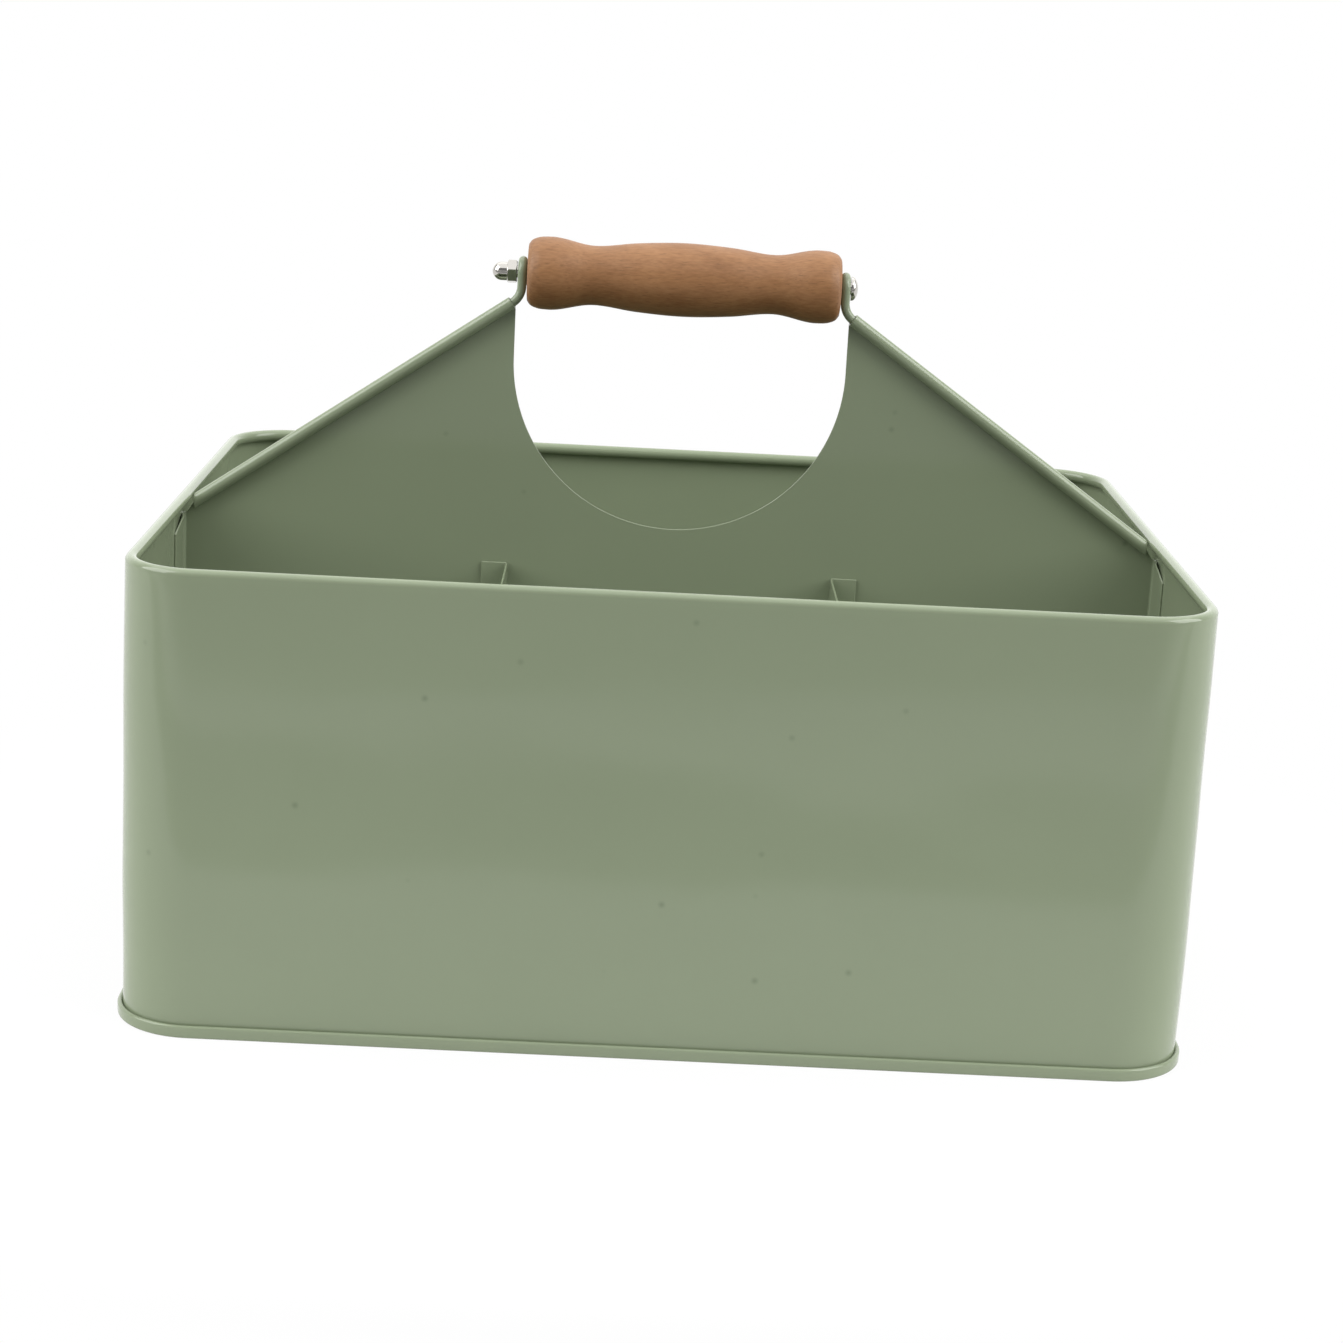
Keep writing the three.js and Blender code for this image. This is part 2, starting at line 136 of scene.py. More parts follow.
class CaddyBody(bpy.types.PropertyGroup):
    """Sizes of the wall and the base"""
    length: distance("Length", "Outside, end wall to end wall", 2 * (BASE_HIGH.x - FRAME_SEAM_REACH))
    depth: distance("Depth", "Outside, front wall to back wall", 2 * (BASE_HIGH.y - FRAME_SEAM_REACH))
    height: distance("Height", "Table to the top of the rim", WALL_HIGH.z)
    corner_radius: distance("Corner radius", "Outside radius of the upright corners", 23.5 * MM)
    rim_roll: distance("Rim roll", "Outside diameter of the rolled rim", 4 * MM)
    rim_turn: angle("Rim turn", "How far the rim is rolled round", 300)
    seam_height: distance("Seam height", "Height of the double seam round the foot", 4 * MM)
    floor_rise: distance("Floor rise", "Underside of the floor above the table", 3 * MM)
    wave_height: distance("Wave height", "Full swing of the noise that waves the thin walls", 1.8 * MM)
    wave_length: distance("Wave length", "Spacing of the waves up the thin walls", 60 * MM)


class CaddyPanel(bpy.types.PropertyGroup):
    """Sizes of the centre panel, its hems and their rods, and the dividers"""
    bend_radius: distance("Bend radius", "Middle of the sheet at each sharp bend", 1 * MM)
    flange_width: distance("Flange width", "End flanges, along the end walls", -PANEL_LOW.y)
    clip_width: distance("Clip width", "Cut off the top of each end flange, across", 10 * MM)
    clip_height: distance("Clip height", "Cut off the top of each end flange, down", 4.5 * MM)
    corner_lift: distance("Corner lift", "How far the clipped corners stand off the end walls", 1.1 * MM)
    fold_width: distance("Fold width", "How far along the top each lifted corner reaches", 15 * MM)
    flange_pull: distance("Flange pull", "How far spot welds pull the end flanges to the walls", 0.28 * MM)
    shoulder_drop: distance("Shoulder drop", "Top of the end flanges below the rim roll", 4 * MM)
    opening_bottom: distance("Opening bottom", "Lowest point of the hand opening", 140 * MM)
    rod_diameter: distance("Rod diameter", "Wire in the hems and eyes", 3 * MM)
    rod_fit: distance("Rod fit", "Clearance between the rod and its hem", 0.2 * MM)
    hem_turn: angle("Hem turn", "How far the hem is curled round its rod", 300)
    hem_foot_setback: distance("Hem foot setback", "Lower end of the hem in from the rim roll", 0.5 * MM)
    hem_foot_drop: distance("Hem foot drop", "Lower end of the hem below the rim", 4 * MM)
    hem_head_drop: distance("Hem head drop", "Upper end of the hem below the grip's axis", 9.9 * MM)
    eye_to_hem: distance("Eye to hem", "Upright of the eye in from the hem's upper end", 2.9 * MM)
    eye_to_opening: distance("Eye to opening", "Upright of the eye in from the side of the opening", 1.8 * MM)
    eye_turn: angle("Eye turn", "How far the rod is carried round the bolt", 275)
    divider_sheet: distance("Divider sheet", "Thickness of the dividers", 0.7 * MM)
    divider_flange: distance("Divider flange", "Width of the dividers' flanges", 8.6 * MM)


class CaddyGrip(bpy.types.PropertyGroup):
    """Sizes of the turned grip, its bolt and its nut"""
    length: distance("Length", "End to end", GRIP_HIGH.x - GRIP_LOW.x)
    belly: distance("Belly", "Diameter in the middle", GRIP_HIGH.z - GRIP_LOW.z)
    shoulder: distance("Shoulder", "Diameter between belly and neck", 22.6 * MM)
    shoulder_inset: distance("Shoulder inset", "Shoulder in from the end", 36 * MM)
    neck: distance("Neck", "Diameter at the necks", 19.5 * MM)
    neck_inset: distance("Neck inset", "Neck in from the end", 21.6 * MM)
    bulge: distance("Bulge", "Diameter of the swollen ends", 24 * MM)
    bulge_inset: distance("Bulge inset", "Widest part of each end in from its face", 6.6 * MM)
    crown: distance("Crown", "Diameter where the end starts to round over", 23.3 * MM)
    crown_inset: distance("Crown inset", "Crown in from the end", 3.2 * MM)
    edge: distance("Edge", "Diameter at the edge of the end", 21.2 * MM)
    edge_inset: distance("Edge inset", "Edge in from the end", 0.9 * MM)
    face: distance("Face", "Diameter of the flat end face", 18.8 * MM)
    bore: distance("Bore", "Hole for the bolt", 4.6 * MM)
    bolt: distance("Bolt", "Shank diameter", 4 * MM)
    end_play: distance("End play", "Clearance beside each eye", 0.3 * MM)
    head_edge: distance("Head edge", "Straight edge under the domed head", 0.4 * MM)
    head_height: distance("Head height", "Whole height of the bolt head", 2.4 * MM)
    recess: distance("Recess", "Width of the cross recess in the bolt head", 4.4 * MM)
    recess_slot: distance("Recess slot", "Width of each arm of the recess", 0.9 * MM)
    recess_depth: distance("Recess depth", "Depth of the recess", 1.5 * MM)
    nut_flats: distance("Nut flats", "Across the hexagon's flats", 7 * MM)
    nut_turn: angle("Nut turn", "How far the nut is turned from flats upward", 15)
    nut_hex: distance("Nut hexagon", "Length of the hexagon", 3.3 * MM)
    nut_dome: distance("Nut dome", "Diameter of the dome", 6.2 * MM)
    nut_bore: distance("Nut bore", "Depth of the threaded hole", 5.3 * MM)


class CaddyFinish(bpy.types.PropertyGroup):
    """Colours of the finishes"""
    paint: colour("Paint", "Powder coat", "#838E74")
    paint_drift: colour("Paint drift", "Powder coat where it lies thicker", "#869177")
    speck: colour("Speck", "Stray dark grains in the powder coat", "#566049")
    wood_light: colour("Wood light", "Early wood", "#A0734A")
    wood_dark: colour("Wood dark", "Late wood", "#7D532D")
    wood_pore: colour("Wood pore", "Open pores", "#5C3C1D")
    nickel: colour("Nickel", "Bright plate", "#BDB6AB")
    floor: colour("Floor", "Studio sweep under and behind the caddy", "#E6E6E6")
    floor_edge: colour("Floor edge", "Floor in front of the sweep", "#707070")


class CaddyStage(bpy.types.PropertyGroup):
    """Camera and light"""
    camera: position("Camera", "Where the camera stands", (-13.7 * MM, -939.4 * MM, 327.8 * MM))
    heading: angle("Heading", "Camera turned right of straight ahead", 0.997)
    tilt: angle("Tilt", "Camera tipped down", 14.175)
    roll: angle("Roll", "Camera rolled anticlockwise", 3.054)
    lens: FloatProperty(name="Lens", description="Focal length for the film", default=75.92, unit="CAMERA")
    film: FloatProperty(name="Film", description="Width of the film", default=36.0, unit="CAMERA")
    back_light: strength("Back light", "World behind the caddy", 1.45)
    front_light: strength("Front light", "World on the camera's side", 0.24)
    left_light: power("Left light", "Soft box on the left", 27.0)
    right_light: power("Right light", "Soft box on the right", 29.0)
    top_light: power("Top light", "Soft box overhead", 19.0)
    side_size: distance("Side size", "Width of the soft boxes at the sides", 1.4)
    top_size: distance("Top size", "Width of the overhead soft box", 2.3)
    side_lamp: position("Side lamp", "Where the right soft box stands, mirrored by the left one",
                        (1.5, -0.5, 1.1))
    top_lamp: position("Top lamp", "Where the overhead soft box hangs", (0.0, -0.1, 1.4))
    apron: distance("Apron", "Front edge of the pale floor", 0.29)
    card_near: distance("Card near", "Near edge of the pale card in front", 0.43)
    card_far: distance("Card far", "Far edge of the pale card in front", 0.57)
    shadow_reach: distance("Shadow reach", "How far out the floor still shows the whole shadow", 0.2)
    white_reach: distance("White reach", "How far out the floor has turned plain white", 0.34)


def add_node(tree, kind, inputs=None, output=0, **settings):
    """Adds one node, applies its settings, fills its inputs from sockets or values and returns one output."""
    node = tree.nodes.new(kind)
    for name, value in settings.items():
        setattr(node, name, value)
    for key, value in (inputs or {}).items():
        if isinstance(value, bpy.types.NodeSocket):
            tree.links.new(value, node.inputs[key])
        else:
            node.inputs[key].default_value = value
    return node.outputs[output]


# Lines and outlines

def arc(start, centre, turn, steps):
    """Points from a start, carried round a centre by a turn."""
    spoke = start - centre
    return [centre + Matrix.Rotation(turn * k / steps, 2) @ spoke for k in range(steps + 1)]


def bent_line(corners, radius, steps):
    """Straight runs whose inner corners are rounded to one radius."""
    line = [corners[0]]
    for before, corner, after in zip(corners, corners[1:], corners[2:]):
        into = (corner - before).normalized()
        away = (after - corner).normalized()
        turn = math.atan2(into.cross(away), into.dot(away))
        start = corner - into * radius * math.tan(abs(turn) / 2)
        centre = start + Vector((-into.y, into.x)) * math.copysign(radius, turn)
        line += arc(start, centre, turn, steps)
    line.append(corners[-1])
    return [p for i, p in enumerate(line) if i == 0 or (p - line[i - 1]).length > SLIVER]


def sheet_outline(line, thickness):
    """The closed outline of a sheet whose middle follows a line, counter-clockwise."""
    right = []
    left = []
    for i, point in enumerate(line):
        into = point - line[i - 1] if i else line[1] - point
        away = line[i + 1] - point if i + 1 < len(line) else into
        into = into.normalized()
        mean = (into + away.normalized()).normalized()
        side = Vector((mean.y, -mean.x)) * thickness / 2 / mean.dot(into)
        right.append(point + side)
        left.append(point - side)
    return right + left[::-1]


def divided(start, end, steps):
    """Points between two ends, both ends left out."""
    return [start.lerp(end, k / steps) for k in range(1, steps)]


def spline(points, steps):
    """A smooth curve through points, with the same number of steps in each span."""
    spans = [(b - a).length for a, b in zip(points, points[1:])]
    ways = [(b - a) / span for a, b, span in zip(points, points[1:], spans)]
    bends = [(ways[i] * spans[i + 1] + ways[i + 1] * spans[i]) / (spans[i] + spans[i + 1])
             for i in range(len(spans) - 1)]
    slopes = [ways[0], *bends, ways[-1]]
    curve = []
    for i, span in enumerate(spans):
        for k in range(steps):
            t = k / steps
            step = t * t * (3 - 2 * t)
            lean = slopes[i] * t * (1 - t) * (1 - t) - slopes[i + 1] * t * t * (1 - t)
            curve.append(points[i].lerp(points[i + 1], step) + lean * span)
    return curve + [points[-1]]


def body_ring(body, offset, height, steps):
    """The body's rounded rectangle at one height, moved outwards by an offset."""
    ring = []
    for quarter in range(4):
        middle = Vector((body.length / 2, body.depth / 2, height)) - Vector((1, 1, 0)) * body.corner_radius
        middle.x *= 1 if quarter in (0, 3) else -1
        middle.y *= 1 if quarter < 2 else -1
        for k in range(steps + 1):
            turn = (quarter + k / steps) * math.pi / 2
            ring.append(middle + Vector((math.cos(turn), math.sin(turn), 0)) * (body.corner_radius + offset))
    return ring


def dome_profile(foot, height, radius):
    """Places along X and radii of a dome, from its foot to just short of its tip."""
    turns = [math.pi / 2 * k / DOME_STEPS for k in range(DOME_STEPS)]
    return [(foot + height * math.sin(turn), radius * math.cos(turn)) for turn in turns]


def turned_rings(profile, sides):
    """Rings round the grip's axis, from a profile of places along X and radii or radius rules."""
    rings = []
    for along, radius in profile:
        ring = []
        for k in range(sides):
            turn = 2 * math.pi * k / sides
            reach = radius(turn) if callable(radius) else radius
            spoke = Vector((0, math.sin(turn), math.cos(turn)))
            ring.append(Vector((along, GRIP_AXIS.y, GRIP_AXIS.z)) + spoke * reach)
        rings.append(ring)
    return rings


# Objects and meshes

def mesh_object(name, points, edges, faces):
    mesh = bpy.data.meshes.new(name)
    mesh.from_pydata(points, edges, faces)
    piece = bpy.data.objects.new(name, mesh)
    bpy.context.scene.collection.objects.link(piece)
    return piece


def loft(name, rings, looped=False):
    """A closed surface through rings of equal counts, looped or capped at both ends."""
    count = len(rings[0])
    faces = []
    for i in range(len(rings) if looped else len(rings) - 1):
        here, there = i * count, (i + 1) % len(rings) * count
        for j in range(count):
            k = (j + 1) % count
            faces.append((here + j, here + k, there + k, there + j))
    if not looped:
        last = (len(rings) - 1) * count
        faces.append(tuple(range(count)))
        faces.append(tuple(range(last, last + count)))
    piece = mesh_object(name, [p for ring in rings for p in ring], [], faces)
    face_outwards(piece)
    return piece


def face_outwards(piece):
    """Merges doubles, dissolves slivers and points every face of a closed piece outwards."""
    shape = bmesh.new()
    shape.from_mesh(piece.data)
    bmesh.ops.remove_doubles(shape, verts=shape.verts, dist=SLIVER)
    bmesh.ops.dissolve_degenerate(shape, edges=shape.edges, dist=SLIVER)
    bmesh.ops.recalc_face_normals(shape, faces=shape.faces)
    shape.to_mesh(piece.data)
    shape.free()


def settle(piece):
    """Turns a piece's modifiers into a plain mesh."""
    graph = bpy.context.evaluated_depsgraph_get()
    settled = bpy.data.meshes.new_from_object(piece.evaluated_get(graph))
    raw = piece.data
    piece.modifiers.clear()
    piece.data = settled
    bpy.data.meshes.remove(raw)
    settled.name = piece.name


def smooth(piece, degrees=32):
    """Shades a piece smooth, with sharp edges where its faces turn further than a limit."""
    piece.data.shade_smooth()
    piece.data.set_sharp_from_angle(angle=math.radians(degrees))


def soften_edges(piece, width, degrees=50):
    """Rounds a piece's sharp edges and keeps its flat faces flat."""
    bevel = piece.modifiers.new("edges", "BEVEL")
    bevel.width = width
    bevel.segments = EDGE_SEGMENTS
    bevel.limit_method = "ANGLE"
    bevel.angle_limit = math.radians(degrees)
    settle(piece)
    face_outwards(piece)
    piece.data.shade_smooth()
    flat = piece.modifiers.new("flat_faces", "WEIGHTED_NORMAL")
    flat.keep_sharp = True
    settle(piece)


def folded_sheet(name, faces, thickness):
    """A sheet of metal from the faces of its middle surface, its cut edges rounded over by the paint."""
    points = [p for face in faces for p in face]
    loops = []
    for face in faces:
        first = loops[-1][-1] + 1 if loops else 0
        loops.append(tuple(range(first, first + len(face))))
    piece = mesh_object(name, points, [], loops)
    face_outwards(piece)
    solid = piece.modifiers.new("thickness", "SOLIDIFY")
    solid.thickness = thickness
    solid.offset = 0
    solid.use_even_offset = True
    solid.use_quality_normals = True
    settle(piece)
    soften_edges(piece, SHEET_EDGE_SHARE * thickness)
    return piece


def fasten(piece, body, slot, material, *nodes):
    """Dresses a finished piece, hangs it on its body's empty and hides the CAD nodes it stands in for."""
    if not piece.data.materials:
        piece.data.materials.append(material)
    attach(piece, body)
    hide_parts(*nodes)


# Geometry Nodes

def new_tree(name, sizes):
    """A tree with a geometry, named sizes and a material going in, and a geometry coming out."""
    tree = bpy.data.node_groups.new(name, "GeometryNodeTree")
    tree.interface.new_socket("Geometry", in_out="INPUT", socket_type="NodeSocketGeometry")
    for size in sizes:
        tree.interface.new_socket(size, in_out="INPUT", socket_type="NodeSocketFloat")
    tree.interface.new_socket("Material", in_out="INPUT", socket_type="NodeSocketMaterial")
    tree.interface.new_socket("Geometry", in_out="OUTPUT", socket_type="NodeSocketGeometry")
    return tree, tree.nodes.new("NodeGroupInput").outputs


def close_tree(tree, geometry, material):
    """Ends a tree in one plain mesh that wears the material."""
    real = add_node(tree, "GeometryNodeRealizeInstances", {"Geometry": geometry})
    dressed = add_node(tree, "GeometryNodeSetMaterial", {"Geometry": real, "Material": material})
    tree.links.new(dressed, tree.nodes.new("NodeGroupOutput").inputs["Geometry"])


def run_tree(piece, tree, values):
    """Runs a tree on a piece with its named inputs and keeps the result as a plain mesh."""
    modifier = piece.modifiers.new(tree.name, "NODES")
    modifier.node_group = tree
    for item in tree.interface.items_tree:
        if item.in_out == "INPUT" and item.name in values:
            modifier[item.identifier] = values[item.name]
    settle(piece)
    face_outwards(piece)


def rolled_wall_tree():
    """Carries a wall's profile round a rounded rectangle and lets the thin flats stray a little."""
    sizes = ["Length", "Depth", "Height", "Corner Radius", "Wave Height", "Wave Length"]
    tree, given = new_tree("rolled_wall", sizes)
    sides = {"Width": given["Length"], "Height": given["Depth"]}
    box = add_node(tree, "GeometryNodeCurvePrimitiveQuadrilateral", sides)
    corners = {"Curve": box, "Count": CORNER_STEPS, "Radius": given["Corner Radius"]}
    rounded = add_node(tree, "GeometryNodeFilletCurve", corners, mode="POLY")
    path = add_node(tree, "GeometryNodeResampleCurve", {"Curve": rounded, "Count": WALL_COLUMNS})
    profile = add_node(tree, "GeometryNodeMeshToCurve", {"Mesh": given["Geometry"]})
    wall = add_node(tree, "GeometryNodeCurveToMesh", {"Curve": path, "Profile Curve": profile})

    # The way out from the wall at each point, from the rectangle of the corners' centres at any height
    core_sides = {"Z": given["Length"]}
    for axis, size in (("X", "Length"), ("Y", "Depth")):
        half = add_node(tree, "ShaderNodeMath", {0: given[size], 1: 2.0}, operation="DIVIDE")
        inset = {0: half, 1: given["Corner Radius"]}
        core_sides[axis] = add_node(tree, "ShaderNodeMath", inset, operation="SUBTRACT")
    core = add_node(tree, "ShaderNodeCombineXYZ", core_sides)
    minus_core = add_node(tree, "ShaderNodeVectorMath", {0: core, "Scale": -1.0}, operation="SCALE")
    spot = add_node(tree, "GeometryNodeInputPosition")
    below = add_node(tree, "ShaderNodeVectorMath", {0: spot, 1: core}, operation="MINIMUM")
    inside = add_node(tree, "ShaderNodeVectorMath", {0: below, 1: minus_core}, operation="MAXIMUM")
    reach = add_node(tree, "ShaderNodeVectorMath", {0: spot, 1: inside}, operation="SUBTRACT")
    outward = add_node(tree, "ShaderNodeVectorMath", {0: reach}, operation="NORMALIZE")

    # Waves, twice as long along the walls as up them and mostly outwards, from noise of 0 to 1
    squeeze = (0.5, 0.5, 1.0)
    inward_share = 0.3
    density = add_node(tree, "ShaderNodeMath", {0: 1.0, 1: given["Wave Length"]}, operation="DIVIDE")
    drawn = add_node(tree, "ShaderNodeVectorMath", {0: spot, 1: squeeze}, operation="MULTIPLY")
    noise = add_node(tree, "ShaderNodeTexNoise", {"Vector": drawn, "Scale": density, "Detail": 1.0})
    swing = add_node(tree, "ShaderNodeMath", {0: noise, 1: inward_share}, operation="SUBTRACT")
    wave = add_node(tree, "ShaderNodeMath", {0: swing, 1: given["Wave Height"]}, operation="MULTIPLY")

    # They die out at the stiff rim and foot by a parabola that is 1 halfway up
    peak = 4.0
    part = add_node(tree, "ShaderNodeSeparateXYZ", {"Vector": spot}).node.outputs
    rise = add_node(tree, "ShaderNodeMath", {0: part["Z"], 1: given["Height"]}, operation="DIVIDE")
    fall = add_node(tree, "ShaderNodeMath", {0: rise, 1: -peak, 2: peak}, operation="MULTIPLY_ADD")
    slack = add_node(tree, "ShaderNodeMath", {0: rise, 1: fall}, operation="MULTIPLY")

    # They also die out where the centre panel's flanges hold the end walls
    off_panel = add_node(tree, "ShaderNodeMath", {0: part["Y"]}, operation="ABSOLUTE")
    hold = {"Value": off_panel, "From Min": given["Corner Radius"], "From Max": given["Wave Length"]}
    free = add_node(tree, "ShaderNodeMapRange", hold)
    loose = add_node(tree, "ShaderNodeMath", {0: slack, 1: free}, operation="MULTIPLY")
    strayed = add_node(tree, "ShaderNodeMath", {0: wave, 1: loose}, operation="MULTIPLY")
    offset = add_node(tree, "ShaderNodeVectorMath", {0: outward, "Scale": strayed}, operation="SCALE")
    moved = add_node(tree, "GeometryNodeSetPosition", {"Geometry": wall, "Offset": offset})
    close_tree(tree, moved, given["Material"])
    return tree


def round_bar_tree():
    """Carries a round section along a path and closes its ends."""
    tree, given = new_tree("round_bar", ["Radius"])
    path = add_node(tree, "GeometryNodeMeshToCurve", {"Mesh": given["Geometry"]})
    circle = {"Resolution": ROD_SIDES, "Radius": given["Radius"]}
    section = add_node(tree, "GeometryNodeCurvePrimitiveCircle", circle)
    sweep = {"Curve": path, "Profile Curve": section, "Fill Caps": True}
    bar = add_node(tree, "GeometryNodeCurveToMesh", sweep)
    close_tree(tree, bar, given["Material"])
    return tree


# Finishes

def new_material(name):
    """A material with only a Principled shader, and its tree, shader and object coordinates."""
    material = bpy.data.materials.new(name)
    material.use_nodes = True
    tree = material.node_tree
    spot = add_node(tree, "ShaderNodeTexCoord", output="Object")
    return material, tree, tree.nodes["Principled BSDF"], spot


def sage_powder_coat():
    """Smooth polyester powder coat on steel: even sage green, a faint orange peel and a few stray specks."""
    finish = bpy.context.scene.caddy_finish
    material, tree, shader, spot = new_material("sage_powder_coat")
    shader.inputs["IOR"].default_value = 1.5

    # Size and detail of the drifts in colour and in gloss, the sheet's swells and the orange peel
    patterns = ((60 * MM, 3.0), (25 * MM, 4.0), (70 * MM, 1.0), (1.5 * MM, 2.0))
    drift, cloud, swell, peel = [
        add_node(tree, "ShaderNodeTexNoise", {"Vector": spot, "Scale": 1 / size, "Detail": detail})
        for size, detail in patterns
    ]
    coats = {"Factor": drift, COLOUR_A: (*finish.paint, 1), COLOUR_B: (*finish.paint_drift, 1)}
    coat = add_node(tree, "ShaderNodeMix", coats, MIXED_COLOUR, data_type="RGBA")

    # Specks: a point in each cell, darker where the surface passes within a speck's reach of it
    speck_cell = 22 * MM
    speck_reach = 1.6 * MM
    grain = add_node(tree, "ShaderNodeTexVoronoi", {"Vector": spot, "Scale": 1 / speck_cell}, "Distance")
    fade = {"Value": grain, "From Max": speck_reach / speck_cell, "To Min": 0.4, "To Max": 0.0}
    speck = add_node(tree, "ShaderNodeMapRange", fade, interpolation_type="SMOOTHSTEP")
    specked = {"Factor": speck, COLOUR_A: coat, COLOUR_B: (*finish.speck, 1)}
    colour_out = add_node(tree, "ShaderNodeMix", specked, MIXED_COLOUR, data_type="RGBA")
    tree.links.new(colour_out, shader.inputs["Base Color"])

    # The sheet under the coat swells by 0.3 mm, and the orange peel lies on top
    gloss = add_node(tree, "ShaderNodeMapRange", {"Value": cloud, "To Min": 0.08, "To Max": 0.14})
    tree.links.new(gloss, shader.inputs["Roughness"])
    buckle = add_node(tree, "ShaderNodeBump", {"Height": swell, "Strength": 1.0, "Distance": 0.3 * MM})
    skin = {"Height": peel, "Strength": 0.08, "Distance": 0.05 * MM, "Normal": buckle}
    tree.links.new(add_node(tree, "ShaderNodeBump", skin), shader.inputs["Normal"])
    return material


def oiled_rubberwood():
    """Turned, sanded, oiled rubberwood: cloudy brown, fine fibres along the grain and short faint pores."""
    finish = bpy.context.scene.caddy_finish
    material, tree, shader, spot = new_material("oiled_rubberwood")

    # Width, length along the grain and detail of the oil's clouds, the fibres and the pores' noise
    noises = []
    for width, run, detail in ((9 * MM, 20 * MM, 3.0), (0.6 * MM, 3 * MM, 3.0), (0.5 * MM, 3.125 * MM, 1.0)):
        drawn = add_node(tree, "ShaderNodeMapping", {"Vector": spot, "Scale": (width / run, 1.0, 1.0)})
        pattern = {"Vector": drawn, "Scale": 1 / width, "Detail": detail}
        noises.append(add_node(tree, "ShaderNodeTexNoise", pattern))
    cloud, fibre, slit = noises
    grain = add_node(tree, "ShaderNodeMix", {"Factor": 0.5, NUMBER_A: cloud, NUMBER_B: fibre})
    tone = add_node(tree, "ShaderNodeMapRange", {"Value": grain, "From Min": 0.3, "From Max": 0.7})
    tones = {"Factor": tone, COLOUR_A: (*finish.wood_light, 1), COLOUR_B: (*finish.wood_dark, 1)}
    board = add_node(tree, "ShaderNodeMix", tones, MIXED_COLOUR, data_type="RGBA")

    # Pores: slits about 0.25 mm wide and 2 mm long, where their noise is high
    pore_shade = 0.5
    pore = add_node(tree, "ShaderNodeMapRange", {"Value": slit, "From Min": 0.6, "From Max": 0.8})
    shade = add_node(tree, "ShaderNodeMath", {0: pore, 1: pore_shade}, operation="MULTIPLY")
    pored = {"Factor": shade, COLOUR_A: board, COLOUR_B: (*finish.wood_pore, 1)}
    colour_out = add_node(tree, "ShaderNodeMix", pored, MIXED_COLOUR, data_type="RGBA")
    tree.links.new(colour_out, shader.inputs["Base Color"])

    # Early and late wood differ in gloss, and the sanded fibres and the pores can be felt
    gloss = add_node(tree, "ShaderNodeMapRange", {"Value": grain, "To Min": 0.42, "To Max": 0.6})
    tree.links.new(gloss, shader.inputs["Roughness"])
    sanded = add_node(tree, "ShaderNodeBump", {"Height": fibre, "Strength": 0.3, "Distance": 0.06 * MM})
    pits = {"Height": pore, "Strength": 0.3, "Distance": 0.08 * MM, "Normal": sanded}
    tree.links.new(add_node(tree, "ShaderNodeBump", pits, invert=True), shader.inputs["Normal"])
    return material


def nickel_plate():
    """Bright nickel plate on turned steel: a warm mirror with faint lathe haze."""
    finish = bpy.context.scene.caddy_finish
    material, tree, shader, spot = new_material("nickel_plate")
    shader.inputs["Metallic"].default_value = 1.0
    shader.inputs["Base Color"].default_value = (*finish.nickel, 1)
    haze_size = 0.8 * MM
    haze = add_node(tree, "ShaderNodeTexNoise", {"Vector": spot, "Scale": 1 / haze_size, "Detail": 3.0})
    gloss = add_node(tree, "ShaderNodeMapRange", {"Value": haze, "To Min": 0.14, "To Max": 0.26})
    tree.links.new(gloss, shader.inputs["Roughness"])
    return material


def finish_named(name):
    """One of the finishes, made when it is first asked for."""
    makers = {
        "sage_powder_coat": sage_powder_coat,
        "oiled_rubberwood": oiled_rubberwood,
        "nickel_plate": nickel_plate,
    }
    return bpy.data.materials.get(name) or makers[name]()


# Places of the hems, rods and eyes

def rod_line(panel):
    """How far behind the panel's plane the rods run: a negative distance, as they lie in front."""
    return -(panel.rod_diameter / 2 + panel.rod_fit + SHEET / 2)


def eye_line(scene):
    """Upright of the right-hand eye along X."""
    return scene.caddy_grip.length / 2 + scene.caddy_grip.end_play + scene.caddy_panel.rod_diameter / 2


def hem_axis(scene):
    """Lower and upper end of the right-hand hem's axis and the way up it, along X and Z."""
    body, panel = scene.caddy_body, scene.caddy_panel
    inset = body.rim_roll + panel.hem_foot_setback
    foot = Vector((body.length / 2 - inset, body.height - panel.hem_foot_drop))
    head = Vector((eye_line(scene) + panel.eye_to_hem, GRIP_AXIS.z - panel.hem_head_drop))
    return foot, head, (head - foot).normalized()


def mirrored(points):
    return [Vector((-p.x, p.y, p.z)) for p in points]


